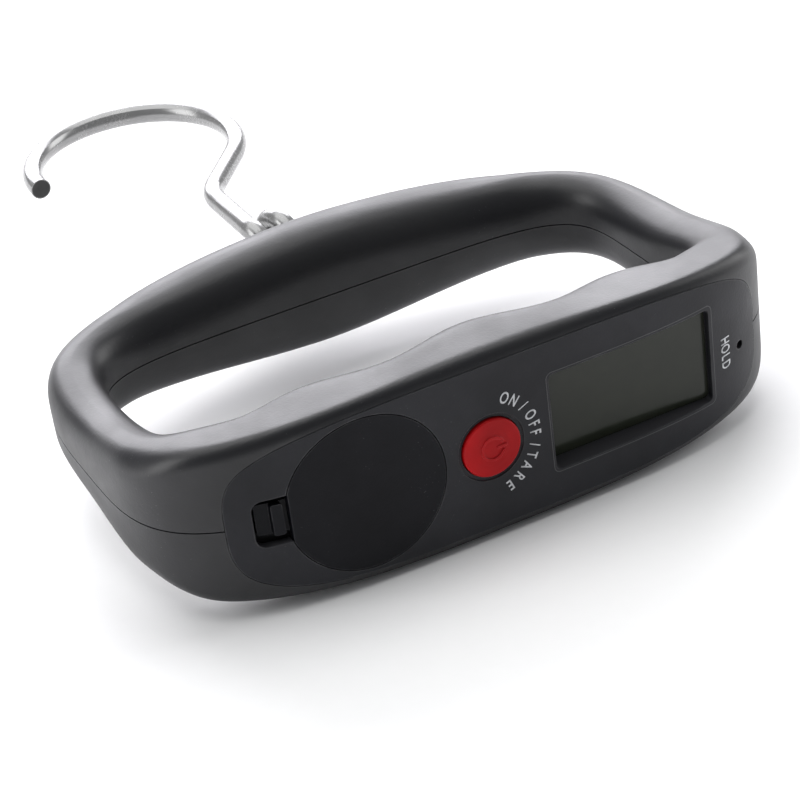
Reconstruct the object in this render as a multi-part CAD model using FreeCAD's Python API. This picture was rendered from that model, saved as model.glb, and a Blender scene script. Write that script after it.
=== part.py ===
"""Digital luggage scale: a D-shaped handle ring with a display panel and a wire hook on the back bar.

Working frame: X to the right along the grip, Y from the front panel towards the hook, Z up, with the
two shells meeting at Z = 0. export() moves everything into the object's own frame, whose origin is the
bottom centre of the bounding box.
"""
import FreeCAD, Part
import math
import os

V = FreeCAD.Vector
X_AXIS, Y_AXIS, Z_AXIS = V(1, 0, 0), V(0, 1, 0), V(0, 0, 1)

# ---- driving dimensions, millimetres ----
# plan of the handle ring: two half superellipses outside, two inside
RING_HALF_WIDTH = 60.5
RING_MIDDLE_Y = 34.9
RING_FRONT_DEPTH, RING_BACK_DEPTH = 34.9, 44.5
RING_FRONT_POWER, RING_BACK_POWER = 3.9, 3.2
OPENING_HALF_WIDTH = 50.0
OPENING_MIDDLE_Y = 36.0
OPENING_FRONT_Y, OPENING_BACK_Y = 15.4, 63.4
OPENING_FRONT_POWER, OPENING_BACK_POWER = 6.5, 5.6

# half thickness of the ring at five places from the front middle round to the back middle
THICK_PLACES = (0.0, 0.31, 0.5, 0.69, 1.0)
HALF_THICKNESS = (17.5, 14.6, 8.5, 8.2, 11.8)

# edge rounding: front panel edge, grip inside, side arms outside and inside, back bar outside and inside
ROUND_FRONT, ROUND_GRIP = 2.6, 6.0
ROUND_ARM_OUT, ROUND_ARM_IN = 6.0, 6.0
ROUND_BACK_OUT, ROUND_BACK_IN = 8.0, 7.0

GROOVE_PITCH, GROOVE_DEPTH = 27.0, 2.9
SEAM_WIDTH, SEAM_DEPTH = 0.24, 0.6
REST_FLAT = 0.06  # depth of the small flat under the grip that the object lies on
WALL = 2.2
RING_COLUMNS = 96

# front panel, let into the shells on a ledge
PLATE_MIDDLE_X = 1.9
PLATE_HALF_LENGTH, PLATE_HALF_HEIGHT, PLATE_POWER = 50.6, 15.3, 3.7
PLATE_THICK, SEAM, LEDGE = 1.55, 0.1, 1.5

# display
LCD_LEFT, LCD_RIGHT, LCD_HALF_HEIGHT, LCD_SLOPE, LCD_CORNER = 8.4, 40.9, 9.15, 0.45, 1.0
LCD_Y, LCD_GLASS = 3.3, 1.1
BOARD_Y, BOARD_THICK = 7.4, 1.2
BOARD_LEFT, BOARD_RIGHT, BOARD_HALF_HEIGHT = -8.6, 47.9, 11.2
BOARD_SCREWS = ((-6.4, 9.0), (-6.4, -9.0), (45.2, 7.2), (45.2, -7.2))

# red button, its collar behind the panel and the switch on the board
BUTTON_X, BUTTON_R, BUTTON_GAP = -3.1, 5.3, 0.15
BUTTON_PROUD, BUTTON_TRAVEL = 0.75, 0.5
BUTTON_DISH_R, BUTTON_DISH_DEPTH = 6.1, 0.3
SWITCH_Y, SWITCH_HALF = 5.5, 3.0

# indicator
LED_X, LED_Z, LED_HOLE_R, LED_R = 47.9, -1.7, 0.8, 1.1

# battery
DOOR_X, DOOR_R, DOOR_CHORD = -25.5, 13.9, 13.1
DOOR_THICK, DOOR_GAP = 1.45, 0.15
RECESS_LEFT, RECESS_HALF_HEIGHT = -44.5, 4.35
CELL_R, CELL_THICK, CELL_Y = 10.0, 3.2, 3.0
CUP_WALL, CUP_FLOOR_Y = 1.2, 7.1

# load cell plate in the back bar, its tongue reaching out through the outlet
CELL_PLATE_HALF = 26.0
CELL_PLATE_Y0, CELL_PLATE_Y1 = 66.4, 76.4
CELL_PLATE_HALF_THICK = 1.25
TONGUE_HALF, TONGUE_SLOT_HALF = 9.8, 7.6
PLATE_SCREW_X = 22.0

# hook: an eye round the tongue's outer edge, a straight shank, an S-bend and an open arc
WIRE_R = 2.05
EYE_R, EYE_Y, EYE_PITCH, EYE_TURN = 4.6, 89.0, 5.8, 395
SHANK_X, SHANK_BEND_R, SHANK_TILT = -5.0, 11.0, 39.3
ARC_R, ARC_X, ARC_Y, ARC_END = 20.77, -10.25, 134.1, 183

# outlet collar round the tongue
COLLAR_HALF, COLLAR_HALF_HEIGHT = 14.0, 6.0
COLLAR_Y0, COLLAR_Y1 = 78.1, 80.3

# fasteners
SHELL_SCREWS = ((34.0, 72.3), (-34.0, 72.3), (52.0, 12.0), (-52.0, 12.0))
BOSS_R, SCREW_R, HEAD_R = 2.6, 1.1, 2.1

# everything sits so that the lowest point is at zero and the box is centred
SHIFT = V(0, -(ARC_Y + ARC_R + WIRE_R - BUTTON_PROUD) / 2, HALF_THICKNESS[0] - REST_FLAT)


# ---- small helpers ----
def box(x0, x1, y0, y1, z0, z1):
    return Part.makeBox(x1 - x0, y1 - y0, z1 - z0, V(x0, y0, z0))


def rod(radius, start, end):
    return Part.makeCylinder(radius, (end - start).Length, start, end - start)


def rod_y(radius, x, z, y0, y1):
    return rod(radius, V(x, y0, z), V(x, y1, z))


def rod_z(radius, x, y, z0, z1):
    return rod(radius, V(x, y, z0), V(x, y, z1))


def rounded_box(x0, x1, y0, y1, z0, z1, radius, axis):
    """Box whose four edges along one axis are rounded."""
    solid = box(x0, x1, y0, y1, z0, z1)
    edges = [e for e in solid.Edges if abs(abs(e.tangentAt(e.FirstParameter).dot(axis)) - 1) < 1e-6]
    return solid.makeFillet(radius, edges)


def fuse(shapes):
    return shapes[0].multiFuse(shapes[1:]).removeSplitter()


def smooth_step(t):
    t = max(0.0, min(1.0, t))
    return t * t * (3 - 2 * t)


# ---- the handle ring ----
def superellipse(angle, half_width, front, back, n_front, n_back, middle_y):
    c, s = math.cos(angle), math.sin(angle)
    power, depth = (n_front, front) if s < 0 else (n_back, back)
    r = ((abs(c) / half_width) ** power + (abs(s) / depth) ** power) ** (-1.0 / power)
    return V(r * c, middle_y + r * s, 0)


def outer_point(angle):
    return superellipse(angle, RING_HALF_WIDTH, RING_FRONT_DEPTH, RING_BACK_DEPTH,
                        RING_FRONT_POWER, RING_BACK_POWER, RING_MIDDLE_Y)


def opening_point(outer):
    """Point of the finger opening that faces a point of the outer outline."""
    angle = math.atan2(outer.y - OPENING_MIDDLE_Y, outer.x)
    p = superellipse(angle, OPENING_HALF_WIDTH, OPENING_MIDDLE_Y - OPENING_FRONT_Y,
                     OPENING_BACK_Y - OPENING_MIDDLE_Y, OPENING_FRONT_POWER, OPENING_BACK_POWER,
                     OPENING_MIDDLE_Y)
    on_grip = smooth_step((OPENING_MIDDLE_Y - 8 - p.y) / 6) * smooth_step((46 - abs(p.x)) / 14)
    wave = (1 - math.cos(2 * math.pi * p.x / GROOVE_PITCH)) / 2
    return V(p.x, p.y - on_grip * GROOVE_DEPTH * wave, 0)


def half_thickness(place):
    """Smooth curve through HALF_THICKNESS, level at both ends."""
    x, v = THICK_PLACES, HALF_THICKNESS
    last = len(x) - 1
    i = max(k for k in range(last) if place >= x[k])
    slope = [0.0] + [(v[k + 1] - v[k - 1]) / (x[k + 1] - x[k - 1]) for k in range(1, last)] + [0.0]
    h = x[i + 1] - x[i]
    t = (place - x[i]) / h
    return (v[i] * (2 * t ** 3 - 3 * t ** 2 + 1) + v[i + 1] * (3 * t ** 2 - 2 * t ** 3)
            + h * slope[i] * (t ** 3 - 2 * t ** 2 + t) + h * slope[i + 1] * (t ** 3 - t ** 2))


def ring_stations():
    """Evenly spaced stations round the ring, starting at the middle of the back bar."""
    fine = 4800
    points = [outer_point(math.pi / 2 + 2 * math.pi * k / fine) for k in range(fine + 1)]
    length = [0.0]
    for a, b in zip(points, points[1:]):
        length.append(length[-1] + (b - a).Length)
    stations, k = [], 0
    for column in range(RING_COLUMNS):
        target = length[-1] * column / RING_COLUMNS
        while length[k + 1] < target:
            k += 1
        t = (target - length[k]) / (length[k + 1] - length[k])
        outer = points[k] + (points[k + 1] - points[k]) * t
        place = 1 - 2 * min(column, RING_COLUMNS - column) / RING_COLUMNS
        stations.append((outer, opening_point(outer), half_thickness(place)))
    return stations


STATIONS = ring_stations()


def section(station, inset):
    """Upper half of the ring's section, from the outer seam over the top to the opening's seam."""
    outer, inner, height = station
    across = inner - outer
    width = across.Length
    direction = across * (1.0 / width)
    middle_y = (outer.y + inner.y) / 2
    front = smooth_step((20 - middle_y) / 14)
    back = smooth_step((middle_y - 48) / 18)
    side = 1 - front - back
    r_out = front * ROUND_FRONT + back * ROUND_BACK_OUT + side * ROUND_ARM_OUT
    r_in = front * ROUND_GRIP + back * ROUND_BACK_IN + side * ROUND_ARM_IN
    height -= inset
    width -= 2 * inset
    r_out = min(max(r_out - inset, 0.8), 0.48 * width, height - 0.3)
    r_in = min(max(r_in - inset, 0.8), 0.48 * width, height - 0.3)
    arc = [math.radians(15 * k) for k in range(7)]
    profile = [(0.0, (height - r_out) * k / 4) for k in range(4)]
    profile += [(r_out * (1 - math.cos(q)), height - r_out * (1 - math.sin(q))) for q in arc]
    profile += [(r_out + (width - r_out - r_in) * k / 3, height) for k in (1, 2)]
    profile += [(width - r_in * (1 - math.cos(q)), height - r_in * (1 - math.sin(q))) for q in arc[::-1]]
    profile += [(width, (height - r_in) * k / 4) for k in (3, 2, 1, 0)]
    return [outer + direction * (inset + u) + V(0, 0, z) for u, z in profile]


def through_points(row):
    """Control points of the closed cubic that passes through a closed row of points."""
    n = len(row)
    poles = list(row)
    for _ in range(40):
        poles = [(row[i] * 6 - poles[i - 1] - poles[(i + 1) % n]) * 0.25 for i in range(n)]
    return poles


def ring_surface(inset, flip):
    """Upper skin of the ring at a given depth under the outside, or its mirror image."""
    sections = [section(s, inset) for s in STATIONS]
    rows = [through_points([s[k] for s in sections]) for k in range(len(sections[0]))]
    if flip:
        rows = [[V(p.x, p.y, -p.z) for p in row] for row in rows]
    columns = [[row[i] for row in rows] for i in range(RING_COLUMNS)]
    count = len(rows)
    surface = Part.BSplineSurface()
    surface.buildFromPolesMultsKnots(columns, [1] * (RING_COLUMNS + 1), [4] + [1] * (count - 4) + [4],
                                     list(range(RING_COLUMNS + 1)), list(range(count - 2)),
                                     True, False, 3, 3)
    return surface


def flat_ring(outside, inside):
    wires = [Part.Wire(outside.toShape()), Part.Wire(inside.toShape())]
    return Part.makeFace(wires, "Part::FaceMakerBullseye")


def closed_solid(faces):
    shell = Part.makeShell(faces)
    shell.sewShape()
    solid = Part.makeSolid(shell)
    if solid.Volume < 0:
        solid.reverse()
    return solid


def half_ring(inset, flip):
    """Solid half of the ring, on one side of the seam plane."""
    skin = ring_surface(inset, flip)
    floor = flat_ring(skin.vIso(skin.bounds()[2]), skin.vIso(skin.bounds()[3]))
    return closed_solid([skin.toShape(), floor])


def hollow_half(flip):
    """Half of the ring as a moulded shell of even wall."""
    skin, lining = ring_surface(0, flip), ring_surface(WALL, flip)
    _, _, low, high = skin.bounds()
    rims = [flat_ring(skin.vIso(low), lining.vIso(low)), flat_ring(lining.vIso(high), skin.vIso(high))]
    return closed_solid([skin.toShape(), lining.toShape()] + rims)


def ring_slab(depth0, depth1, half_height=22.0, side=-1):
    """Curved slab under the front face (side -1) between two depths, standing along Z."""
    reach = [p for p, _, _ in STATIONS if p.y < RING_MIDDLE_Y * 0.8]
    reach.sort(key=lambda p: p.x)
    curve = Part.BSplineCurve()
    curve.interpolate(reach)

    def offset_edge(depth):
        first, last = curve.FirstParameter, curve.LastParameter
        points = []
        for k in range(81):
            u = first + (last - first) * k / 80
            tangent = curve.tangent(u)[0]
            points.append(curve.value(u) + V(-tangent.y, tangent.x, 0) * depth)
        edge = Part.BSplineCurve()
        edge.interpolate(points)
        return edge.toShape(), points[0], points[-1]

    near, n0, n1 = offset_edge(depth0)
    far, f0, f1 = offset_edge(depth1)
    wire = Part.Wire(Part.__sortEdges__([near, Part.makeLine(n1, f1), far, Part.makeLine(f0, n0)]))
    face = Part.Face(wire)
    face.translate(V(0, 0, -half_height))
    return face.extrude(V(0, 0, 2 * half_height))


def panel_prism(grow, y0=-3.0, y1=12.0):
    """Outline of the front panel, grown or shrunk, as a prism along Y."""
    points = []
    for k in range(72):
        angle = 2 * math.pi * k / 72
        p = superellipse(angle, PLATE_HALF_LENGTH, PLATE_HALF_HEIGHT, PLATE_HALF_HEIGHT,
                         PLATE_POWER, PLATE_POWER, 0)
        n = V(p.x / PLATE_HALF_LENGTH ** 2, p.y / PLATE_HALF_HEIGHT ** 2, 0).normalize()
        q = p + n * grow + V(PLATE_MIDDLE_X, 0, 0)
        points.append(V(q.x, y0, q.y))
    curve = Part.BSplineCurve()
    curve.interpolate(Points=points, PeriodicFlag=True)
    return Part.Face(Part.Wire(curve.toShape())).extrude(V(0, y1 - y0, 0))


# ---- round wire and leads ----
def swept_rod(points, radius):
    """Round rod along a dense row of points, as one smooth surface with flat ends."""
    sides = 12
    tangents = []
    for k in range(len(points)):
        a, b = points[max(k - 1, 0)], points[min(k + 1, len(points) - 1)]
        tangents.append((b - a).normalize())
    up = Z_AXIS if abs(tangents[0].dot(Z_AXIS)) < 0.8 else X_AXIS
    rings = []
    for p, t in zip(points, tangents):
        up = (up - t * up.dot(t)).normalize()
        side = t.cross(up)
        turn = [2 * math.pi * k / sides for k in range(sides)]
        rings.append(through_points([p + (up * math.cos(q) + side * math.sin(q)) * radius for q in turn]))
    columns = [[ring[k] for ring in rings] for k in range(sides)]
    count = len(rings)
    surface = Part.BSplineSurface()
    surface.buildFromPolesMultsKnots(columns, [1] * (sides + 1), [4] + [1] * (count - 4) + [4],
                                     list(range(sides + 1)), list(range(count - 2)),
                                     True, False, 3, 3)
    ends = [Part.Face(Part.Wire(surface.vIso(v).toShape())) for v in surface.bounds()[2:]]
    return closed_solid([surface.toShape()] + ends)


def rounded_route(corners, step=1.0):
    """Points along straight runs whose corners are rounded as far as the runs allow."""
    points = [corners[0]]

    def run_to(target):
        start = points[-1]
        n = max(1, int((target - start).Length / step))
        points.extend(start + (target - start) * ((k + 1) / n) for k in range(n))

    for a, b, c in zip(corners, corners[1:], corners[2:]):
        reach = 0.45 * min((b - a).Length, (c - b).Length)
        start, end = b + (a - b).normalize() * reach, b + (c - b).normalize() * reach
        run_to(start)
        for k in range(1, 9):
            t = k / 8
            points.append(start * (1 - t) ** 2 + b * (2 * t * (1 - t)) + end * t ** 2)
    run_to(corners[-1])
    return points


# ---- pieces ----
def shell_bosses(flip):
    """Screw posts and the load cell's seats, kept inside the wall."""
    sign = -1 if flip else 1
    posts = []
    for x, y in SHELL_SCREWS:
        posts.append(rod_z(BOSS_R, x, y, sign * 0.1, sign * 20.0))
    if flip:
        for x in (-PLATE_SCREW_X, PLATE_SCREW_X):
            posts.append(rod_z(3.1, x, (CELL_PLATE_Y0 + CELL_PLATE_Y1) / 2, -20, -CELL_PLATE_HALF_THICK))
    return Part.makeCompound(posts).common(half_ring(WALL * 0.5, flip))


def shell(flip):
    body = hollow_half(flip)
    body = body.fuse(shell_bosses(flip).Solids)
    z0, z1 = (-25, 0) if flip else (0, 25)
    keep = box(-70, 70, -5, 100, z0, z1)
    under_seam = ring_surface(SEAM_DEPTH, flip)
    core = flat_ring(*[under_seam.vIso(v) for v in under_seam.bounds()[2:]])
    core.translate(V(0, 0, -1))
    groove = box(-70, 70, -5, 100, -SEAM_WIDTH / 2, SEAM_WIDTH / 2).cut(core.extrude(V(0, 0, 2)))
    cuts = [groove, panel_prism(SEAM).common(ring_slab(-2.0, PLATE_THICK + SEAM)),
            panel_prism(-LEDGE).common(ring_slab(-2.0, WALL + 0.5))]
    cuts.append(collar_prism(SEAM, COLLAR_Y0 - SEAM, COLLAR_Y1 + 2))
    cuts.append(box(-TONGUE_HALF - 0.6, TONGUE_HALF + 0.6, 74, 82, -2.6, 2.6))
    for x, y in SHELL_SCREWS:
        if flip:
            cuts.append(rod_z(SCREW_R + 0.15, x, y, -25, 0))
            cuts.append(rod_z(HEAD_R + 0.3, x, y, -25, -5.2))
        else:
            cuts.append(rod_z(SCREW_R - 0.1, x, y, -1, 6.2))
    if flip:
        cuts.append(box(-70, 70, -5, 100, -25, REST_FLAT - HALF_THICKNESS[0]))
        for x in (-PLATE_SCREW_X, PLATE_SCREW_X):
            cuts.append(rod_z(SCREW_R - 0.1, x, (CELL_PLATE_Y0 + CELL_PLATE_Y1) / 2, -6.5, 0))
    return body.cut([c.common(keep) for c in cuts])


def collar_prism(grow, y0, y1):
    r = COLLAR_HALF_HEIGHT + grow
    x = COLLAR_HALF - COLLAR_HALF_HEIGHT
    return fuse([box(-x, x, y0, y1, -r, r), rod_y(r, -x, 0, y0, y1), rod_y(r, x, 0, y0, y1)])


def outlet_collar():
    ring = collar_prism(0, COLLAR_Y0, COLLAR_Y1)
    rim = [e for e in ring.Edges if e.BoundBox.YMin > COLLAR_Y1 - 0.01]
    ring = ring.makeFillet(0.6, rim)
    slot = rounded_box(-TONGUE_HALF - 0.35, TONGUE_HALF + 0.35, 70, 90, -1.7, 1.7, 1.2, Y_AXIS)
    return ring.cut(slot)


def door_outline(grow, y0, y1):
    disc = rod_y(DOOR_R + grow, DOOR_X, 0, y0, y1)
    return disc.cut(box(DOOR_X - 30, DOOR_X - DOOR_CHORD - grow, y0 - 1, y1 + 1, -30, 30))


def lcd_window(back_y):
    """Opening over the display, wider at the face than at the glass."""
    def rim(grow, y):
        x0, x1, z = LCD_LEFT - grow, LCD_RIGHT + grow, LCD_HALF_HEIGHT + grow
        return Part.makePolygon([V(x0, y, -z), V(x1, y, -z), V(x1, y, z), V(x0, y, z), V(x0, y, -z)])
    slope = LCD_SLOPE / back_y
    window = Part.makeLoft([rim(slope * 2.0, -2.0), rim(-LCD_SLOPE, back_y)], True, True)
    corners = [e for e in window.Edges if e.BoundBox.YLength > back_y]
    return window.makeFillet(LCD_CORNER, corners)


def face_plate():
    sheet = panel_prism(0).common(ring_slab(0, PLATE_THICK))
    z = LCD_HALF_HEIGHT + 1.0
    tunnel = box(LCD_LEFT - 1.2, LCD_RIGHT + 1.2, 0.9, LCD_Y - 0.03, -z, z).common(ring_slab(1.0, 8))
    posts = [rod_y(1.8, x, z, 1.0, BOARD_Y).common(ring_slab(1.0, 9)) for x, z in BOARD_SCREWS]
    plate = sheet.multiFuse([tunnel] + posts)
    recess = rounded_box(RECESS_LEFT, DOOR_X - DOOR_CHORD + 3, -3, 8, -RECESS_HALF_HEIGHT,
                         RECESS_HALF_HEIGHT, 1.8, Y_AXIS)
    pocket = box(LCD_LEFT - 1.15, LCD_RIGHT + 1.15, LCD_Y - 0.03, 9, -z + 0.15, z - 0.15)
    cuts = [lcd_window(LCD_Y), pocket, door_outline(DOOR_GAP, -3, 8), recess,
            rod_y(BUTTON_R + BUTTON_GAP, BUTTON_X, 0, -3, 8),
            rod_y(BUTTON_DISH_R, BUTTON_X, 0, -3, BUTTON_DISH_DEPTH),
            rod_y(LED_HOLE_R, LED_X, LED_Z, -3, 8)]
    cuts += [rod_y(0.75, x, z, BOARD_Y - 3.2, BOARD_Y + 1) for x, z in BOARD_SCREWS]
    return plate.cut(cuts)


def battery_door():
    disc = door_outline(0, -3, 8).common(ring_slab(0, DOOR_THICK))
    chord_x = DOOR_X - DOOR_CHORD
    tongue = rounded_box(RECESS_LEFT + 0.8, chord_x + 0.9, -3, 8, -2.9, 2.9, 0.4, Y_AXIS)
    tongue = tongue.common(ring_slab(1.5, 2.3))
    root = box(chord_x + 0.1, chord_x + 0.9, -3, 8, -2.9, 2.9).common(ring_slab(1.0, 2.3))
    tab = rounded_box(-41.4, -39.5, -3, 8, -2.9, 2.9, 0.4, Y_AXIS).common(ring_slab(0.4, 1.8))
    lug_root = box(DOOR_X + 11.6, DOOR_X + DOOR_R, 1.1, 2.5, -4, 4)
    lug_root = lug_root.common(rod_y(DOOR_R - 0.1, DOOR_X, 0, 0, 4))
    lug = box(DOOR_X + 11.6, DOOR_X + DOOR_R + 1.0, 1.85, 2.5, -4, 4)
    return fuse([disc, root, tongue, tab, lug_root, lug])


def power_button():
    cap = rod_y(BUTTON_R, BUTTON_X, 0, -BUTTON_PROUD + 0.35, 2.0)
    rim = [e for e in cap.Edges if e.BoundBox.YMax < 0]
    cap = cap.makeFillet(0.3, rim)
    crown_r = 26.0
    crown = Part.makeSphere(crown_r, V(BUTTON_X, crown_r - BUTTON_PROUD + 0.15, 0))
    crown = crown.common(rod_y(BUTTON_R - 1.1, BUTTON_X, 0, -2, 1))
    flange = rod_y(BUTTON_R + 1.0, BUTTON_X, 0, PLATE_THICK + 0.1, PLATE_THICK + 0.9)
    stem = rod_y(1.6, BUTTON_X, 0, 2.0, SWITCH_Y - 0.5)
    ring = rod_y(2.25, BUTTON_X, 0, -BUTTON_PROUD, 0).cut(rod_y(1.8, BUTTON_X, 0, -2, 1))
    ring = ring.cut(box(BUTTON_X, BUTTON_X + 3, -2, 1, -0.75, 0.75))
    bar = box(BUTTON_X + 0.7, BUTTON_X + 2.6, -BUTTON_PROUD, 0, -0.23, 0.23)
    return fuse([cap, crown, flange, stem, ring, bar])


def button_switch():
    body = rounded_box(BUTTON_X - SWITCH_HALF, BUTTON_X + SWITCH_HALF, SWITCH_Y, BOARD_Y,
                       -SWITCH_HALF, SWITCH_HALF, 0.4, Y_AXIS)
    return body.cut(rod_y(1.65, BUTTON_X, 0, SWITCH_Y - 1, SWITCH_Y + BUTTON_TRAVEL + 0.8))


def switch_plunger():
    return rod_y(1.5, BUTTON_X, 0, SWITCH_Y - 0.5, SWITCH_Y + 0.6)


def lcd_panel():
    top = LCD_HALF_HEIGHT + 0.75
    front = box(LCD_LEFT - 0.9, LCD_RIGHT + 0.9, LCD_Y, LCD_Y + LCD_GLASS, -top, top)
    rear = box(LCD_LEFT - 0.9, LCD_RIGHT + 0.9, LCD_Y + LCD_GLASS, LCD_Y + 2 * LCD_GLASS, -top + 2.2, top)
    return front.fuse(rear).removeSplitter()


def zebra_connector():
    top = LCD_HALF_HEIGHT + 0.75
    return box(LCD_LEFT, LCD_RIGHT, LCD_Y + LCD_GLASS + 0.02, BOARD_Y - 0.02, -top + 0.2, -top + 1.9)


def lcd_frame():
    top = LCD_HALF_HEIGHT + 1.5
    z = LCD_HALF_HEIGHT + 0.85
    frame = rounded_box(LCD_LEFT - 2.3, LCD_RIGHT + 1.5, LCD_Y + 1.35, BOARD_Y - 0.02, -top, top, 0.8, Y_AXIS)
    frame = frame.cut(box(LCD_LEFT - 1.0, LCD_RIGHT + 1.0, 0, 20, -z, z))
    bar = box(LCD_LEFT - 1.5, LCD_RIGHT + 1.5, LCD_Y + 2 * LCD_GLASS + 0.05, BOARD_Y - 0.02,
              -z + 2.2, -z + 3.4)
    return frame.fuse(bar).removeSplitter()


def circuit_board():
    board = rounded_box(BOARD_LEFT, BOARD_RIGHT, BOARD_Y, BOARD_Y + BOARD_THICK,
                        -BOARD_HALF_HEIGHT, BOARD_HALF_HEIGHT, 1.5, Y_AXIS)
    ear = box(BOARD_RIGHT - 3, LED_X + LED_R + 0.4, BOARD_Y, BOARD_Y + BOARD_THICK, LED_Z - 2.2, LED_Z + 2.2)
    board = board.fuse(ear).removeSplitter()
    return board.cut([rod_y(0.95, x, z, 0, 20) for x, z in BOARD_SCREWS])


def processor_chip():
    y = BOARD_Y + BOARD_THICK
    dome = Part.makeSphere(14.0, V(25, y - 13.1, 0))
    return dome.common(rod_y(6, 25, 0, y, y + 3))


def board_screws():
    y = BOARD_Y + BOARD_THICK
    return [rod_y(0.7, x, z, y - 3.8, y + 0.3).fuse(pan_head(x, z, y)).removeSplitter()
            for x, z in BOARD_SCREWS]


def pan_head(x, z, y):
    head = rod_y(1.5, x, z, y, y + 0.9)
    head = head.makeFillet(0.4, [e for e in head.Edges if e.BoundBox.YMin > y + 0.8])
    return head.cut(box(x - 1.6, x + 1.6, y + 0.5, y + 2, z - 0.2, z + 0.2))


def hold_led():
    base = rod_y(LED_R, LED_X, LED_Z, BOARD_Y - 0.5, BOARD_Y)
    dome = Part.makeSphere(LED_R + 0.2, V(LED_X, BOARD_Y + 0.2, LED_Z))
    dome = dome.common(rod_y(LED_R, LED_X, LED_Z, 0, BOARD_Y - 0.4))
    return base.fuse(dome).removeSplitter()


def coin_cell():
    can = rod_y(CELL_R, DOOR_X, 0, CELL_Y, CELL_Y + CELL_THICK - 0.4)
    can = can.makeFillet(0.4, [e for e in can.Edges if e.BoundBox.YMax < CELL_Y + 0.01])
    return can.fuse(rod_y(CELL_R - 1.3, DOOR_X, 0, CELL_Y, CELL_Y + CELL_THICK)).removeSplitter()


def battery_cup():
    inner = CELL_R + 0.45
    flange = rod_y(13.2, DOOR_X, 0, 0, 9).common(ring_slab(PLATE_THICK + 0.2, PLATE_THICK + 1.0))
    tube = rod_y(inner + CUP_WALL, DOOR_X, 0, 0, CUP_FLOOR_Y + 0.9).common(ring_slab(PLATE_THICK + 0.05, 12))
    shelf = box(RECESS_LEFT - 0.5, DOOR_X - 11, 0, 9, -5.9, 5.9).common(ring_slab(2.6, 3.2))
    wall = box(RECESS_LEFT - 0.5, RECESS_LEFT + 0.3, 0, 9, -5.9, 5.9)
    wall = wall.common(ring_slab(PLATE_THICK + 0.05, 3.0))
    cup = flange.multiFuse([tube, shelf, wall])
    cuts = [rod_y(inner, DOOR_X, 0, -3, CUP_FLOOR_Y), box(DOOR_X + 10.2, DOOR_X + 16, 0, 3.1, -4.6, 4.6),
            box(DOOR_X + 9.6, DOOR_X + 10.8, 3.2, 12, -1.4, 1.4),
            box(DOOR_X + 5.2, DOOR_X + 6.4, 3.2, 12, -1.4, 1.4),
            box(DOOR_X - 16, DOOR_X - 9.5, 0, 9, -3.4, 3.4).common(ring_slab(0, 2.6))]
    return cup.cut(cuts)


def positive_contact():
    band = rod_y(CELL_R + 0.38, DOOR_X, 0, 3.5, 6.6).cut(rod_y(CELL_R + 0.08, DOOR_X, 0, 0, 20))
    band = band.common(box(DOOR_X + 8.0, DOOR_X + 12, 0, 20, -6, 6))
    tab = box(DOOR_X + CELL_R + 0.08, DOOR_X + CELL_R + 0.38, 6.0, 8.8, -1.1, 1.1)
    return band.fuse(tab).removeSplitter()


def negative_contact():
    strip = box(DOOR_X - 7.5, DOOR_X + 6.0, CUP_FLOOR_Y - 0.35, CUP_FLOOR_Y - 0.05, -2, 2)
    nub = Part.makeCone(1.8, 1.0, 0.6, V(DOOR_X, CUP_FLOOR_Y - 0.3, 0), V(0, -1, 0))
    tab = box(DOOR_X + 5.7, DOOR_X + 6.0, CUP_FLOOR_Y - 0.35, 8.8, -1.1, 1.1)
    return fuse([strip, nub, tab])


def battery_leads():
    ends = ((DOOR_X + CELL_R + 0.9, 0.0, 3.0), (DOOR_X + 6.6, 0.0, -3.0))
    back = BOARD_Y + BOARD_THICK + 0.5
    leads = []
    for x, z, z_end in ends:
        route = [V(x, 8.6, z), V(x + 1.6, 8.75, z + z_end * 0.4), V(BOARD_LEFT - 2.4, back + 0.2, z_end),
                 V(BOARD_LEFT + 1.8, back, z_end)]
        leads.append(swept_rod(rounded_route(route, 0.5), 0.45))
    return leads


def load_cell():
    h = CELL_PLATE_HALF_THICK
    plate = rounded_box(-CELL_PLATE_HALF, CELL_PLATE_HALF, CELL_PLATE_Y0, CELL_PLATE_Y1, -h, h, 1.5, Z_AXIS)
    end_y = EYE_Y + 1.3
    tongue = rounded_box(-TONGUE_HALF, TONGUE_HALF, CELL_PLATE_Y0 + 3, end_y, -h, h, 2.2, Z_AXIS)
    slot = rounded_box(-TONGUE_SLOT_HALF, TONGUE_SLOT_HALF, EYE_Y - EYE_R - WIRE_R - 0.4, EYE_Y - 1.5,
                       -5, 5, 2.0, Z_AXIS)
    middle_y = (CELL_PLATE_Y0 + CELL_PLATE_Y1) / 2
    holes = [rod_z(SCREW_R + 0.1, x, middle_y, -5, 5) for x in (-PLATE_SCREW_X, PLATE_SCREW_X)]
    for x in (-14.5, 14.5):
        holes += [rod_z(2.6, x - 1.4, middle_y, -5, 5), rod_z(2.6, x + 1.4, middle_y, -5, 5),
                  box(x - 1.4, x + 1.4, middle_y - 2.6, middle_y + 2.6, -5, 5)]
    return plate.fuse(tongue).removeSplitter().cut([slot] + holes)


def load_cell_screws():
    middle_y = (CELL_PLATE_Y0 + CELL_PLATE_Y1) / 2
    screws = []
    for x in (-PLATE_SCREW_X, PLATE_SCREW_X):
        shaft = rod_z(SCREW_R - 0.12, x, middle_y, -6.0, CELL_PLATE_HALF_THICK + 0.3)
        head = rod_z(HEAD_R, x, middle_y, CELL_PLATE_HALF_THICK + 0.02, CELL_PLATE_HALF_THICK + 1.5)
        screws.append(shaft.fuse(head).removeSplitter())
    return screws


def strain_gauges():
    gauges = []
    for x in (-14.5, 14.5):
        for y in (CELL_PLATE_Y0 - 0.15, CELL_PLATE_Y1):
            gauges.append(box(x - 2.2, x + 2.2, y, y + 0.15, -1.0, 1.0))
    return gauges


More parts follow.
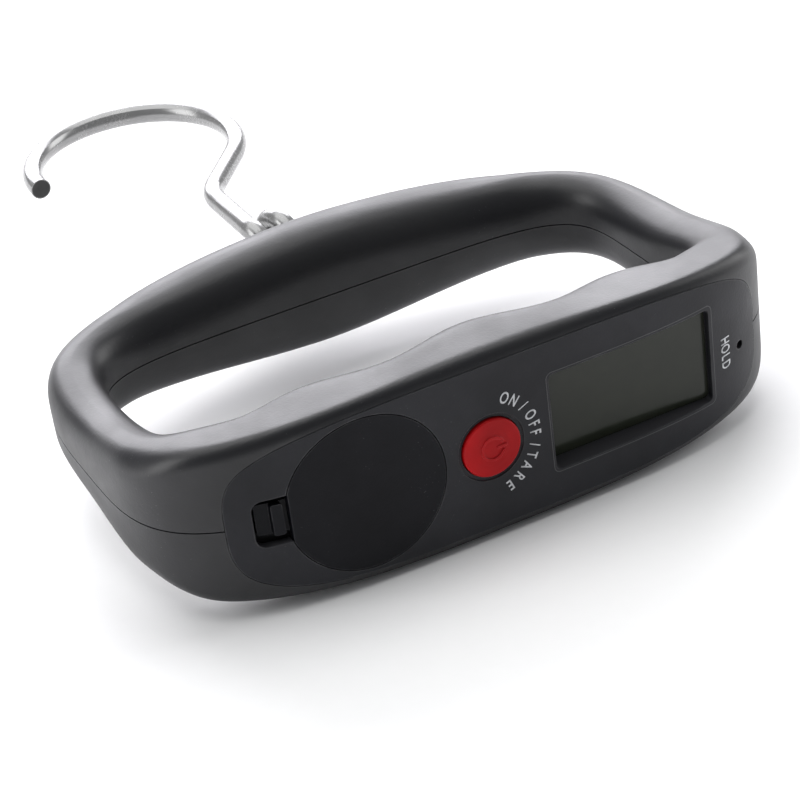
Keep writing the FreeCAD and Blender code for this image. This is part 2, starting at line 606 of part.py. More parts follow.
def sensor_lead():
    route = [V(11.5, 68.0, 2.4), V(18.5, 67.7, 3.0), V(34, 67.3, 2.2), V(42, 66.9, 1.8), V(49, 63.0, 1.2),
             V(53.8, 56.0, 0.6), V(55.2, 46.0, 0.1), V(55.3, 34, 0), V(55.2, 24, 1.0), V(52.6, 18.0, 3.0),
             V(48.6, 14.6, 6.0), V(44.5, 11.2, 5.0), V(38.5, 9.45, 3.0)]
    return swept_rod(rounded_route(route), 0.8)


def hook():
    points = []
    for k in range(0, EYE_TURN + 1, 5)[::-1]:
        q = math.radians(k)
        points.append(V(SHANK_X + EYE_PITCH * k / 360, EYE_Y - EYE_R * math.sin(q), EYE_R * math.cos(q)))
    tilt = math.radians(SHANK_TILT)
    joint = V(ARC_X + ARC_R * math.cos(tilt), ARC_Y - ARC_R * math.sin(tilt), EYE_R)
    slope = V(math.sin(tilt), math.cos(tilt), 0)
    corner_y = joint.y - (joint.x - SHANK_X) / math.tan(tilt)
    reach = SHANK_BEND_R * math.tan(tilt / 2)
    bend_start = V(SHANK_X, corner_y - reach, EYE_R)
    steps = int((bend_start.y - EYE_Y))
    points += [V(SHANK_X, EYE_Y + (bend_start.y - EYE_Y) * k / steps, EYE_R) for k in range(1, steps + 1)]
    for k in range(1, 11):
        q = tilt * k / 10
        points.append(bend_start + V(SHANK_BEND_R * (1 - math.cos(q)), SHANK_BEND_R * math.sin(q), 0))
    start = points[-1]
    steps = max(2, int((joint - start).Length))
    points += [start + (joint - start) * (k / steps) for k in range(1, steps + 1)]
    sweep = SHANK_TILT + ARC_END
    for k in range(1, 81):
        q = math.radians(-SHANK_TILT + sweep * k / 80)
        points.append(V(ARC_X + ARC_R * math.cos(q), ARC_Y + ARC_R * math.sin(q), EYE_R))
    assert (slope - (joint - start).normalize()).Length < 0.02
    return swept_rod(points, WIRE_R)


def shell_screws():
    screws = []
    for x, y in SHELL_SCREWS:
        shaft = rod_z(SCREW_R - 0.12, x, y, -5.4, 5.6)
        head = rod_z(HEAD_R, x, y, -7.0, -5.22)
        cross = [box(x - 1.2, x + 1.2, y - 0.25, y + 0.25, -8, -6.1),
                 box(x - 0.25, x + 0.25, y - 1.2, y + 1.2, -8, -6.1)]
        screws.append(shaft.fuse(head).removeSplitter().cut(cross))
    return screws


def export(name, shape):
    """Write one node, moved into the object's own frame."""
    shape = Part.makeCompound(shape) if isinstance(shape, list) else shape
    shape = shape.copy()
    shape.translate(SHIFT)
    solids = shape.Solids
    print(name, "solids", len(solids), "valid", shape.isValid(), "volume", round(shape.Volume, 1))
    body = solids[0] if len(solids) == 1 else Part.makeCompound(solids)
    body.exportStep("parts/" + name + ".step")


PIECES = {
    "upper_shell": lambda: shell(False), "lower_shell": lambda: shell(True),
    "face_plate": face_plate, "battery_door": battery_door,
    "power_button": power_button, "switch_plunger": switch_plunger, "button_switch": button_switch,
    "lcd_panel": lcd_panel, "lcd_frame": lcd_frame, "zebra_connector": zebra_connector,
    "circuit_board": circuit_board, "processor_chip": processor_chip, "board_screws": board_screws,
    "hold_led": hold_led, "coin_cell": coin_cell, "battery_cup": battery_cup,
    "positive_contact": positive_contact, "negative_contact": negative_contact,
    "battery_leads": battery_leads, "load_cell": load_cell, "load_cell_screws": load_cell_screws,
    "strain_gauges": strain_gauges, "sensor_lead": sensor_lead, "hook": hook,
    "outlet_collar": outlet_collar, "shell_screws": shell_screws,
}

if __name__ == "__main__":
    os.makedirs("parts", exist_ok=True)
    for piece_name, make_piece in PIECES.items():
        export(piece_name, make_piece())
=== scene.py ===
"""Digital luggage scale: looks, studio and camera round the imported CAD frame. Metres throughout."""
import math

import bmesh
import bpy
from mathutils import Euler, Matrix, Vector


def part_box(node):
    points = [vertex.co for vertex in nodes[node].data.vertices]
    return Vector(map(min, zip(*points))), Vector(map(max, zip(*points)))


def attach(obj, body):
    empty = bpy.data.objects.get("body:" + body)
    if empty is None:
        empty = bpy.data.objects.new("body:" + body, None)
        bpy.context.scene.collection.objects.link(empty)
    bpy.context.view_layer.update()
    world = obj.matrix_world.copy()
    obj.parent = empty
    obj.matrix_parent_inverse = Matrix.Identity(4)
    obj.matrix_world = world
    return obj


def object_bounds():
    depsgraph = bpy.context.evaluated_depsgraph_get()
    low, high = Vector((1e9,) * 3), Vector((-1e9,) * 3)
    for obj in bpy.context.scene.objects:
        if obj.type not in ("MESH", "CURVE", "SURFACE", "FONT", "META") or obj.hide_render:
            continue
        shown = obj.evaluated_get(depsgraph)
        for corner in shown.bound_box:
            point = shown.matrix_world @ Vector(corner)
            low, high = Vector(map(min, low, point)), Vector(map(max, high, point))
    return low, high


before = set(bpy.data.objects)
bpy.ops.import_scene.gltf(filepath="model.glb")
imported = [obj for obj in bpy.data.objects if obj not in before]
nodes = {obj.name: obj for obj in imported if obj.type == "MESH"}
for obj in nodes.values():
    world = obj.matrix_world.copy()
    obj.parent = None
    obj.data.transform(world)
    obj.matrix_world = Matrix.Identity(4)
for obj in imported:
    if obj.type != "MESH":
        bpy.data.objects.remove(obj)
cad_low, cad_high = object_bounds()


# ---- Handle shells ----
# Two injection-moulded halves of black ABS that close on a seam round the ring's mid-plane.
# The mould is spark-eroded, so they carry a fine matte grain, with edges rubbed a little greyer.
DUST_COLOUR = (0.35, 0.35, 0.36)
RUB_STRENGTH = 0.55


def start_group(name, inputs, outputs):
    """Empty shader group with float or vector inputs and float outputs."""
    group = bpy.data.node_groups.new(name, "ShaderNodeTree")
    for label, kind, default in inputs:
        socket = group.interface.new_socket(name=label, in_out="INPUT", socket_type=kind)
        if default is not None:
            socket.default_value = default
    for label in outputs:
        group.interface.new_socket(name=label, in_out="OUTPUT", socket_type="NodeSocketFloat")
    return group, group.nodes.new("NodeGroupInput"), group.nodes.new("NodeGroupOutput")


def math_node(tree, operation, first, second=None, clamp=False):
    node = tree.nodes.new("ShaderNodeMath")
    node.operation = operation
    node.use_clamp = clamp
    for socket, value in zip(node.inputs, (first, second)):
        if isinstance(value, bpy.types.NodeSocket):
            tree.links.new(value, socket)
        elif value is not None:
            socket.default_value = value
    return node.outputs[0]


def noise_node(tree, vector, scale, detail, roughness=0.55):
    node = tree.nodes.new("ShaderNodeTexNoise")
    tree.links.new(vector, node.inputs["Vector"])
    if isinstance(scale, bpy.types.NodeSocket):
        tree.links.new(scale, node.inputs["Scale"])
    else:
        node.inputs["Scale"].default_value = scale
    node.inputs["Detail"].default_value = detail
    node.inputs["Roughness"].default_value = roughness
    return node.outputs["Fac"]


def ranged(tree, value, low, high, out_low, out_high):
    node = tree.nodes.new("ShaderNodeMapRange")
    node.interpolation_type = "SMOOTHSTEP"
    tree.links.new(value, node.inputs["Value"])
    for label, number in zip(("From Min", "From Max", "To Min", "To Max"), (low, high, out_low, out_high)):
        node.inputs[label].default_value = number
    return node.outputs["Result"]


def build_grain_group():
    """Spark-eroded grain: pebbles over a soft cloud, with the odd faint speck of dust."""
    group, given, made = start_group(
        "moulded_grain",
        (("Position", "NodeSocketVector", None), ("Scale", "NodeSocketFloat", 3000.0)),
        ("Height", "Cloud", "Dust"))
    position, scale = given.outputs["Position"], given.outputs["Scale"]
    pebbles = group.nodes.new("ShaderNodeTexVoronoi")
    pebbles.feature = "SMOOTH_F1"
    group.links.new(position, pebbles.inputs["Vector"])
    group.links.new(scale, pebbles.inputs["Scale"])
    fine = noise_node(group, position, math_node(group, "MULTIPLY", scale, 0.6), 3.0, 0.65)
    height = math_node(group, "ADD", math_node(group, "MULTIPLY", pebbles.outputs["Distance"], -0.6), fine)
    cloud = noise_node(group, position, 55.0, 4.0, 0.6)
    dust_field = noise_node(group, position, 3400.0, 1.0, 0.4)
    dust = math_node(group, "MULTIPLY", ranged(group, dust_field, 0.745, 0.79, 0.0, 1.0),
                     ranged(group, cloud, 0.5, 0.62, 0.0, 1.0))
    for label, value in (("Height", height), ("Cloud", cloud), ("Dust", dust)):
        group.links.new(value, made.inputs[label])
    return group


def build_rub_group():
    """Mask of the outer edges that get rubbed, broken up by noise."""
    group, given, made = start_group(
        "edge_rub",
        (("Position", "NodeSocketVector", None), ("Width", "NodeSocketFloat", 0.0006)),
        ("Mask",))
    rounded = group.nodes.new("ShaderNodeBevel")
    rounded.samples = 4
    group.links.new(given.outputs["Width"], rounded.inputs["Radius"])
    surface = group.nodes.new("ShaderNodeNewGeometry")
    facing = group.nodes.new("ShaderNodeVectorMath")
    facing.operation = "DOT_PRODUCT"
    group.links.new(rounded.outputs["Normal"], facing.inputs[0])
    group.links.new(surface.outputs["Normal"], facing.inputs[1])
    edge = ranged(group, facing.outputs["Value"], 0.995, 0.9, 0.0, 1.0)
    patches = ranged(group, noise_node(group, given.outputs["Position"], 240.0, 4.0), 0.35, 0.7, 0.25, 1.0)
    group.links.new(math_node(group, "MULTIPLY", edge, patches), made.inputs["Mask"])
    return group


grain_group = build_grain_group()
rub_group = build_rub_group()


def place_group(tree, group, values, position):
    node = tree.nodes.new("ShaderNodeGroup")
    node.node_tree = group
    tree.links.new(position, node.inputs["Position"])
    for label, value in values.items():
        node.inputs[label].default_value = value
    return node


def colour_mix(tree, factor, first, second):
    node = tree.nodes.new("ShaderNodeMix")
    node.data_type = "RGBA"
    tree.links.new(factor, node.inputs["Factor"])
    for socket, value in ((node.inputs["A"], first), (node.inputs["B"], second)):
        if isinstance(value, bpy.types.NodeSocket):
            tree.links.new(value, socket)
        else:
            socket.default_value = (*value, 1.0)
    return node.outputs["Result"]


def start_material(name, roughness, specular, metallic=0.0):
    material = bpy.data.materials.new(name)
    material.use_nodes = True
    tree = material.node_tree
    shader = tree.nodes["Principled BSDF"]
    shader.inputs["Roughness"].default_value = roughness
    shader.inputs["Specular IOR Level"].default_value = specular
    shader.inputs["Metallic"].default_value = metallic
    return material, tree, shader, tree.nodes.new("ShaderNodeTexCoord").outputs["Object"]


def add_bump(tree, shader, height, depth, strength=1.0, edge_radius=0.0):
    """Relief, and where asked an edge that catches the light as if it were rounded."""
    bump = tree.nodes.new("ShaderNodeBump")
    if edge_radius:
        rounded = tree.nodes.new("ShaderNodeBevel")
        rounded.samples = 4
        rounded.inputs["Radius"].default_value = edge_radius
        tree.links.new(rounded.outputs["Normal"], bump.inputs["Normal"])
    bump.inputs["Distance"].default_value = depth
    bump.inputs["Strength"].default_value = strength
    tree.links.new(height, bump.inputs["Height"])
    tree.links.new(bump.outputs["Normal"], shader.inputs["Normal"])


def moulded_plastic(name, colour, rubbed, roughness, specular=0.35, grain=2600.0, depth=0.00003,
                    rub_width=0.0006, dust=0.25, edge_radius=0.0, painted_top_light=0.0):
    """Grained plastic whose colour, gloss and relief vary; the last argument paints light on faces that look
    up.
    """
    material, tree, shader, position = start_material(name, roughness, specular)
    skin = place_group(tree, grain_group, {"Scale": grain}, position)
    rub = place_group(tree, rub_group, {"Width": rub_width}, position)
    darker = tuple(channel * 0.8 for channel in colour)
    lighter = tuple(channel * 1.25 for channel in colour)
    base = colour_mix(tree, ranged(tree, skin.outputs["Cloud"], 0.3, 0.7, 0.0, 1.0), darker, lighter)
    base = colour_mix(tree, math_node(tree, "MULTIPLY", rub.outputs["Mask"], RUB_STRENGTH), base, rubbed)
    base = colour_mix(tree, math_node(tree, "MULTIPLY", skin.outputs["Dust"], dust), base, DUST_COLOUR)
    # Painted light: faces that look up are mixed towards a pale grey, as if lit from above.
    if painted_top_light:
        facing = tree.nodes.new("ShaderNodeSeparateXYZ")
        tree.links.new(tree.nodes["Texture Coordinate"].outputs["Normal"], facing.inputs[0])
        painted_light_mask = ranged(tree, facing.outputs["Z"], 0.55, 0.8, 0.0, 1.0)
        base = colour_mix(tree, painted_light_mask, base, (painted_top_light, painted_top_light, painted_top_light * 1.1))
    tree.links.new(base, shader.inputs["Base Color"])
    gloss = ranged(tree, skin.outputs["Cloud"], 0.3, 0.7, roughness + 0.05, roughness - 0.05)
    tree.links.new(math_node(tree, "SUBTRACT", gloss, math_node(tree, "MULTIPLY", rub.outputs["Mask"], 0.1)),
                   shader.inputs["Roughness"])
    add_bump(tree, shader, skin.outputs["Height"], depth, 0.6, edge_radius)
    return material


def dress(material, *names):
    """Put a finish on CAD nodes."""
    for name in names:
        mesh = nodes[name].data
        mesh.materials.clear()
        mesh.materials.append(material)


shell_plastic = moulded_plastic("shell_black_abs", (0.0085, 0.0086, 0.0105), (0.035, 0.035, 0.038), 0.42,
                                specular=0.5, rub_width=0.0005)
dress(shell_plastic, "upper_shell", "lower_shell")


# ---- Front panel and battery door ----
# A thin curved panel of the same ABS is let into both shells and carries the controls. The
# round door clips into it with a tongue at its left, so it shows a fine gap all round.
# Painted light: the panel's faces that look up, such as the lower wall of the display's recess, are lightened
# as if lit from above.
panel_plastic = moulded_plastic("panel_black_abs", (0.017, 0.0172, 0.021), (0.16, 0.16, 0.165), 0.38,
                                specular=0.22, rub_width=0.0004, dust=0.15, edge_radius=0.0003,
                                painted_top_light=0.05)
door_plastic = moulded_plastic("door_black_abs", (0.0045, 0.0047, 0.007), (0.14, 0.14, 0.145), 0.42,
                               specular=0.15, grain=2300.0, rub_width=0.0003, dust=0.15, edge_radius=0.0002)
dress(panel_plastic, "face_plate")
dress(door_plastic, "battery_door")


# ---- Printed function words ----
# Pad-printed in off-white ink straight on the panel: the button's three functions on an arc
# round its right side, and the hold indicator's word reading downwards beside the display.
panel_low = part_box("face_plate")[0]
button_low, button_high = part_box("power_button")
button_x = (button_low.x + button_high.x) / 2
middle_z = (button_low.z + button_high.z) / 2
LETTER_SIZE = 0.0029
LETTER_NARROWING = 0.7
STROKE_GAIN = 0.00004
INK_THICKNESS = 0.00002
PROBE_DISTANCE = 0.01
facing_front = Matrix(((1, 0, 0), (0, 0, -1), (0, 1, 0))).to_4x4()


def letter_mesh(letter):
    curve = bpy.data.curves.new("letter", "FONT")
    curve.body = letter
    curve.size = LETTER_SIZE
    curve.offset = STROKE_GAIN
    curve.align_x = "CENTER"
    curve.align_y = "CENTER"
    holder = bpy.data.objects.new("letter", curve)
    bpy.context.scene.collection.objects.link(holder)
    bpy.context.view_layer.update()
    mesh = bpy.data.meshes.new_from_object(holder)
    bpy.data.objects.remove(holder)
    return mesh


def lay_on_panel(shape, name, material):
    """Drop a flat shape, drawn in x and z, on the panel's curved face and give it thickness."""
    bmesh.ops.triangulate(shape, faces=shape.faces)
    start = panel_low.y - PROBE_DISTANCE
    for vertex in shape.verts:
        probe = Vector((vertex.co.x, start, vertex.co.z))
        hit, place = nodes["face_plate"].ray_cast(probe, (0, 1, 0))[:2]
        vertex.co.y = (place.y if hit else panel_low.y) - INK_THICKNESS
    if sum(face.normal.y for face in shape.faces) > 0:
        bmesh.ops.reverse_faces(shape, faces=shape.faces)
    bmesh.ops.solidify(shape, geom=shape.faces, thickness=INK_THICKNESS * 0.8)
    bmesh.ops.recalc_face_normals(shape, faces=shape.faces)
    mesh = bpy.data.meshes.new(name)
    shape.to_mesh(mesh)
    shape.free()
    piece = bpy.data.objects.new(name, mesh)
    bpy.context.scene.collection.objects.link(piece)
    mesh.materials.append(material)
    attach(piece, "housing")


def print_word(name, letters, material):
    """letters: (letter, x, z, turn in degrees), x and z on the panel's face."""
    ink = bmesh.new()
    for letter, x, z, turn in letters:
        mesh = letter_mesh(letter)
        mesh.transform(Matrix.Diagonal((LETTER_NARROWING, 1, 1, 1)))
        mesh.transform(facing_front @ Matrix.Rotation(math.radians(turn), 4, "Z"))
        mesh.transform(Matrix.Translation((x, 0, z)))
        ink.from_mesh(mesh)
        bpy.data.meshes.remove(mesh)
    bmesh.ops.remove_doubles(ink, verts=ink.verts, dist=1e-7)
    lay_on_panel(ink, name, material)


ink_material, ink_tree, ink_shader, ink_position = start_material("off_white_ink", 0.5, 0.4)
ink_cover = ranged(ink_tree, noise_node(ink_tree, ink_position, 5200.0, 3.0), 0.25, 0.5, 0.0, 1.0)
ink_tree.links.new(colour_mix(ink_tree, ink_cover, (0.38, 0.385, 0.4), (0.66, 0.67, 0.69)),
                   ink_shader.inputs["Base Color"])
add_bump(ink_tree, ink_shader, ink_cover, 0.000005)

bpy.context.view_layer.update()
ARC_RADIUS = 0.00905
ARC_SHIFT = -0.0009
ARC_ANGLES = (63, 50.5, 36, 21, 8.5, -2, -16.5, -28, -40.5, -54, -67)
arc_letters = []
for letter, angle in zip("ON/OFF/TARE", ARC_ANGLES):
    turn = math.radians(angle)
    arc_letters.append((letter, button_x + ARC_SHIFT + ARC_RADIUS * math.cos(turn),
                        middle_z + ARC_RADIUS * math.sin(turn), angle - 90))
print_word("function_words", arc_letters, ink_material)

HOLD_X = 0.0441
HOLD_DROP = 0.0013
HOLD_PITCH = 0.00155
hold_letters = [(letter, HOLD_X, middle_z - HOLD_DROP + HOLD_PITCH * (1.5 - k), -90)
                for k, letter in enumerate("HOLD")]
print_word("hold_word", hold_letters, ink_material)


# ---- Window edge painted highlight ----
# The window's edge in the panel is rounded and catches the light as a fine pale line round the display.
# That line is a painted highlight: a narrow strip of paler plastic colour laid on the panel round the window.
WINDOW_MIDDLE_X = 0.02465
WINDOW_HALF_WIDTH, WINDOW_HALF_HEIGHT, WINDOW_CORNER = 0.01655, 0.00945, 0.001
HIGHLIGHT_GAP, HIGHLIGHT_WIDTH = 0.00003, 0.00016
HIGHLIGHT_CORNER_STEPS, HIGHLIGHT_SIDE_STEPS = 8, 24


def highlight_row(grow):
    """Rounded rectangle round the window, with points along its sides to follow the curved panel."""
    radius = WINDOW_CORNER + grow
    reach_x, reach_z = WINDOW_HALF_WIDTH - WINDOW_CORNER, WINDOW_HALF_HEIGHT - WINDOW_CORNER
    corners = ((reach_x, reach_z, 0), (-reach_x, reach_z, 90), (-reach_x, -reach_z, 180),
               (reach_x, -reach_z, 270))
    row = []
    for x, z, first in corners:
        for step in range(HIGHLIGHT_CORNER_STEPS + 1):
            turn = math.radians(first + 90 * step / HIGHLIGHT_CORNER_STEPS)
            row.append(Vector((WINDOW_MIDDLE_X + x + radius * math.cos(turn), 0,
                               middle_z + z + radius * math.sin(turn))))
    full = []
    for point, following in zip(row, row[1:] + row[:1]):
        pieces = HIGHLIGHT_SIDE_STEPS if (following - point).length > WINDOW_CORNER * 2 else 1
        full += [point.lerp(following, step / pieces) for step in range(pieces)]
    return full


highlight_strip_shape = bmesh.new()
inner_row, outer_row = [[highlight_strip_shape.verts.new(point) for point in highlight_row(grow)]
                        for grow in (HIGHLIGHT_GAP, HIGHLIGHT_GAP + HIGHLIGHT_WIDTH)]
for index in range(len(inner_row)):
    following = (index + 1) % len(inner_row)
    highlight_strip_shape.faces.new((inner_row[index], inner_row[following], outer_row[following], outer_row[index]))
# Painted highlight: the strip's paler colour stands for the light caught by the window's rounded edge.
window_highlight_paint = moulded_plastic("painted_highlight_abs", (0.06, 0.06, 0.064), (0.12, 0.12, 0.125), 0.3, dust=0.1)
lay_on_panel(highlight_strip_shape, "window_painted_highlight", window_highlight_paint)


# ---- Power button ----
# Moulded in semi-gloss red ABS with a raised symbol, it slides in the panel's round hole and works
# the switch behind it through a black plunger.
button_plastic = moulded_plastic("button_red_abs", (0.45, 0.0035, 0.006), (0.7, 0.06, 0.065), 0.32,
                                 specular=0.14, grain=1800.0, depth=0.000008, rub_width=0.0003, dust=0.1,
                                 edge_radius=0.00015)
dress(button_plastic, "power_button")
plunger_plastic = moulded_plastic("plunger_black_nylon", (0.02, 0.02, 0.02), (0.05, 0.05, 0.05), 0.5)
switch_plastic = moulded_plastic("switch_black_nylon", (0.03, 0.03, 0.032), (0.07, 0.07, 0.07), 0.45)
dress(plunger_plastic, "switch_plunger")
dress(switch_plastic, "button_switch")


# ---- Display ----
# Two panes of glass hold the liquid crystal; the front polariser is a dark grey-green film with
# a soft sheen. The rear edge sits on a striped rubber connector in a white holder.
def build_display_material():
    material, tree, shader, position = start_material("display_grey_green", 0.16, 0.32)
    cloud = noise_node(tree, position, 90.0, 3.0)
    base = colour_mix(tree, ranged(tree, cloud, 0.3, 0.7, 0.0, 1.0), (0.0185, 0.0215, 0.0145),
                      (0.0235, 0.027, 0.0185))
    tree.links.new(base, shader.inputs["Base Color"])
    smear = noise_node(tree, position, 420.0, 5.0, 0.6)
    tree.links.new(ranged(tree, smear, 0.35, 0.7, 0.13, 0.24), shader.inputs["Roughness"])
    add_bump(tree, shader, noise_node(tree, position, 6000.0, 1.0), 0.000002, 0.4)
    return material


dress(build_display_material(), "lcd_panel")
holder_plastic = moulded_plastic("holder_white_abs", (0.6, 0.6, 0.57), (0.75, 0.75, 0.72), 0.45, dust=0.1)
dress(holder_plastic, "lcd_frame")


def striped_rubber():
    material, tree, shader, position = start_material("striped_connector_rubber", 0.7, 0.3)
    stripes = tree.nodes.new("ShaderNodeTexWave")
    stripes.bands_direction = "X"
    tree.links.new(position, stripes.inputs["Vector"])
    stripes.inputs["Scale"].default_value = 900.0
    stripes.inputs["Distortion"].default_value = 0.2
    tree.links.new(colour_mix(tree, stripes.outputs["Fac"], (0.02, 0.02, 0.02), (0.5, 0.5, 0.5)),
                   shader.inputs["Base Color"])
    add_bump(tree, shader, stripes.outputs["Fac"], 0.00001)
    return material


dress(striped_rubber(), "zebra_connector")


# ---- Circuit board and its parts ----
# Green solder mask over copper tracks, with the processor under a drop of black epoxy and the
# red indicator behind its pin hole.
def board_material():
    material, tree, shader, position = start_material("solder_mask_green", 0.32, 0.5)
    tracks = tree.nodes.new("ShaderNodeTexBrick")
    tree.links.new(position, tracks.inputs["Vector"])
    tracks.inputs["Scale"].default_value = 420.0
    tracks.inputs["Mortar Size"].default_value = 0.03
    tracks.inputs["Color1"].default_value = (0.012, 0.13, 0.05, 1.0)
    tracks.inputs["Color2"].default_value = (0.014, 0.15, 0.06, 1.0)
    tracks.inputs["Mortar"].default_value = (0.03, 0.24, 0.1, 1.0)
    cloud = ranged(tree, noise_node(tree, position, 200.0, 3.0), 0.4, 0.6, 0.0, 0.5)
    tree.links.new(colour_mix(tree, cloud, tracks.outputs["Color"], (0.01, 0.1, 0.04)),
                   shader.inputs["Base Color"])
    add_bump(tree, shader, tracks.outputs["Fac"], 0.00002)
    return material


dress(board_material(), "circuit_board")
epoxy = moulded_plastic("epoxy_black", (0.012, 0.012, 0.012), (0.03, 0.03, 0.03), 0.2, specular=0.5,
                        grain=700.0, depth=0.00001)
dress(epoxy, "processor_chip")
lens_plastic = moulded_plastic("lens_red_clear", (0.35, 0.02, 0.015), (0.5, 0.1, 0.08), 0.15, specular=0.5,
                               grain=900.0, depth=0.000005, dust=0.0)
dress(lens_plastic, "hold_led")


# ---- Hook ----
# Bent from one polished stainless wire: an eye that hangs on the load cell's tongue, a straight
# shank, an S-bend and a wide open arc.
def bright_metal(name, dark, light, roughness, draw=(60.0, 60.0, 60.0), depth=0.000001, metallic=1.0):
    """Metal with drawn or rolled lines and slightly uneven polish."""
    material, tree, shader, position = start_material(name, roughness, 0.5, metallic)
    stretch = tree.nodes.new("ShaderNodeMapping")
    stretch.inputs["Scale"].default_value = draw
    tree.links.new(position, stretch.inputs["Vector"])
    lines = noise_node(tree, stretch.outputs["Vector"], 30.0, 5.0, 0.7)
    cloud = noise_node(tree, position, 130.0, 4.0, 0.6)
    rub = place_group(tree, rub_group, {"Width": 0.0003}, position)
    base = colour_mix(tree, ranged(tree, cloud, 0.3, 0.7, 0.0, 1.0), dark, light)
    base = colour_mix(tree, math_node(tree, "MULTIPLY", rub.outputs["Mask"], 0.5), base,
                      tuple(min(1.0, channel * 1.1) for channel in light))
    tree.links.new(base, shader.inputs["Base Color"])
    polish = math_node(tree, "ADD", ranged(tree, lines, 0.3, 0.75, -0.03, 0.06), roughness)
    tree.links.new(math_node(tree, "ADD", polish, ranged(tree, cloud, 0.35, 0.7, 0.0, 0.05)),
                   shader.inputs["Roughness"])
    add_bump(tree, shader, lines, depth, 0.35)
    return material


dress(bright_metal("polished_stainless_wire", (0.27, 0.27, 0.27), (0.31, 0.31, 0.308), 0.21, metallic=0.5),
      "hook")


# ---- Hook's cut end ----
# The wire is sheared and left unpolished at its open end, so a thin dark oxidised face closes it.
CUT_PLACE = Vector((-0.0309915, 0.0549280, 0.0220400))
CUT_FACING = Vector((0.028107, -0.999605, 0.0))
CUT_RADIUS = 0.00185
CUT_THICKNESS = 0.00001
cut_shape = bmesh.new()
bmesh.ops.create_circle(cut_shape, cap_ends=True, segments=48, radius=CUT_RADIUS)
bmesh.ops.solidify(cut_shape, geom=cut_shape.faces, thickness=CUT_THICKNESS)
cut_shape.transform(CUT_FACING.to_track_quat("Z", "Y").to_matrix().to_4x4())
bmesh.ops.translate(cut_shape, verts=cut_shape.verts, vec=CUT_PLACE + CUT_FACING * CUT_THICKNESS)
bmesh.ops.recalc_face_normals(cut_shape, faces=cut_shape.faces)
cut_mesh = bpy.data.meshes.new("hook_cut_end")
cut_shape.to_mesh(cut_mesh)
cut_shape.free()
cut_end = bpy.data.objects.new("hook_cut_end", cut_mesh)
bpy.context.scene.collection.objects.link(cut_end)
cut_mesh.materials.append(bright_metal("oxidised_cut_steel", (0.03, 0.03, 0.03), (0.06, 0.06, 0.06), 0.5,
                                       metallic=0.3))
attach(cut_end, "hook")


# ---- Load cell and plated steel ----
# The load cell is a stamped spring-steel plate; the screws, contacts and cell case are plated
# steel with a satin finish.
dress(bright_metal("spring_steel_plate", (0.42, 0.42, 0.43), (0.55, 0.55, 0.55), 0.3, draw=(8.0, 90.0, 90.0),
                   depth=0.000003), "load_cell")
dress(bright_metal("zinc_plated_steel", (0.5, 0.5, 0.48), (0.62, 0.62, 0.6), 0.3), "board_screws",
      "load_cell_screws", "shell_screws")
dress(bright_metal("nickel_plated_contact", (0.6, 0.57, 0.5), (0.7, 0.67, 0.6), 0.24), "positive_contact",
      "negative_contact")
dress(bright_metal("cell_case_steel", (0.6, 0.6, 0.58), (0.7, 0.7, 0.68), 0.26, draw=(70.0, 9.0, 70.0)),
      "coin_cell")


# ---- Collar, battery cup, gauges and leads ----
# The outlet collar and the battery cup are black nylon; the gauges are amber film bonded to the
# load cell, and the leads are thin insulated wire.
collar_plastic = moulded_plastic("collar_black_nylon", (0.012, 0.012, 0.013), (0.05, 0.05, 0.05), 0.5)
cup_plastic = moulded_plastic("cup_black_nylon", (0.02, 0.02, 0.021), (0.06, 0.06, 0.06), 0.5)
gauge_film = moulded_plastic("gauge_amber_film", (0.4, 0.17, 0.04), (0.5, 0.3, 0.1), 0.3, grain=900.0,
                             depth=0.000006, dust=0.0)
red_lead = moulded_plastic("lead_red_vinyl", (0.32, 0.02, 0.02), (0.4, 0.05, 0.05), 0.4, grain=900.0,
                           depth=0.00001, dust=0.1)
grey_lead = moulded_plastic("lead_grey_vinyl", (0.2, 0.2, 0.21), (0.3, 0.3, 0.3), 0.45, grain=900.0,
                            depth=0.00001, dust=0.1)
dress(collar_plastic, "outlet_collar")
dress(cup_plastic, "battery_cup")
dress(gauge_film, "strain_gauges")
dress(red_lead, "battery_leads")
dress(grey_lead, "sensor_lead")


# ---- Studio ----
# A pale seamless floor, a large soft light behind, a weaker one overhead and a strip on each side.
# The bright light behind gives the sheen along the tops of the ring.
FLOOR_DROP = 0.0001
FLOOR_REACH = 4.0


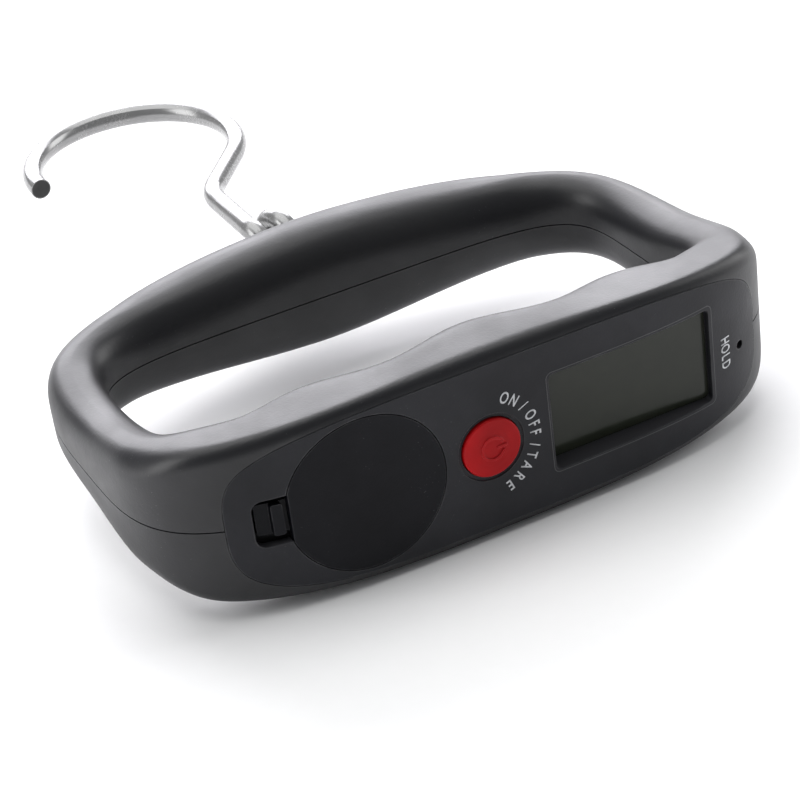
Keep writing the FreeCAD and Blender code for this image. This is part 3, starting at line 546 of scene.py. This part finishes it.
def studio_floor():
    floor_mesh = bmesh.new()
    bmesh.ops.create_grid(floor_mesh, x_segments=4, y_segments=4, size=FLOOR_REACH)
    bmesh.ops.translate(floor_mesh, verts=floor_mesh.verts, vec=(0, 0, cad_low.z - FLOOR_DROP))
    mesh = bpy.data.meshes.new("studio_floor")
    floor_mesh.to_mesh(mesh)
    floor_mesh.free()
    floor = bpy.data.objects.new("studio_floor", mesh)
    bpy.context.scene.collection.objects.link(floor)
    material, tree, shader, position = start_material("floor_paper", 0.9, 0.05)
    fibre = noise_node(tree, position, 300.0, 3.0)
    tree.links.new(colour_mix(tree, fibre, (0.93, 0.93, 0.93), (0.95, 0.95, 0.95)), shader.inputs["Base Color"])
    mesh.materials.append(material)


def soft_light(name, place, target, width, height, power, colour=(1.0, 1.0, 1.0)):
    light = bpy.data.lights.new(name, "AREA")
    light.color = colour
    light.shape = "RECTANGLE"
    light.size, light.size_y, light.energy = width, height, power
    holder = bpy.data.objects.new(name, light)
    bpy.context.scene.collection.objects.link(holder)
    holder.location = place
    holder.rotation_euler = (Vector(target) - Vector(place)).to_track_quat("-Z", "Y").to_euler()


studio_floor()
soft_light("overhead_softbox", (-0.05, 0.2, 0.95), (0, 0, 0), 1.2, 0.9, 8.0)
soft_light("back_softbox", (0.35, 1.15, 0.62), (0, 0, 0.02), 1.7, 0.95, 31.0,
           colour=(0.965, 0.955, 1.0))
soft_light("left_strip", (-0.95, 0.1, 0.4), (0, 0, 0.02), 0.5, 0.8, 5.0)
soft_light("right_strip", (0.95, -0.05, 0.4), (0, 0, 0.02), 0.5, 0.7, 4.0)
studio_world = bpy.data.worlds.new("studio")
studio_world.use_nodes = True
backdrop = studio_world.node_tree.nodes["Background"]
backdrop.inputs["Color"].default_value = (0.95, 0.97, 1.0, 1.0)
backdrop.inputs["Strength"].default_value = 0.2
bpy.context.scene.world = studio_world
bpy.context.scene.view_settings.view_transform = "Standard"

camera_data = bpy.data.cameras.new("camera")
camera_data.lens = 112.5
camera_data.sensor_width = 36.0
camera_data.clip_start = 0.01
camera = bpy.data.objects.new("camera", camera_data)
bpy.context.scene.collection.objects.link(camera)
camera.location = (-0.152179, -0.386492, 0.234202)
camera.rotation_euler = Euler((1.025800, 0.117897, -0.481603), "XYZ")
bpy.context.scene.camera = camera
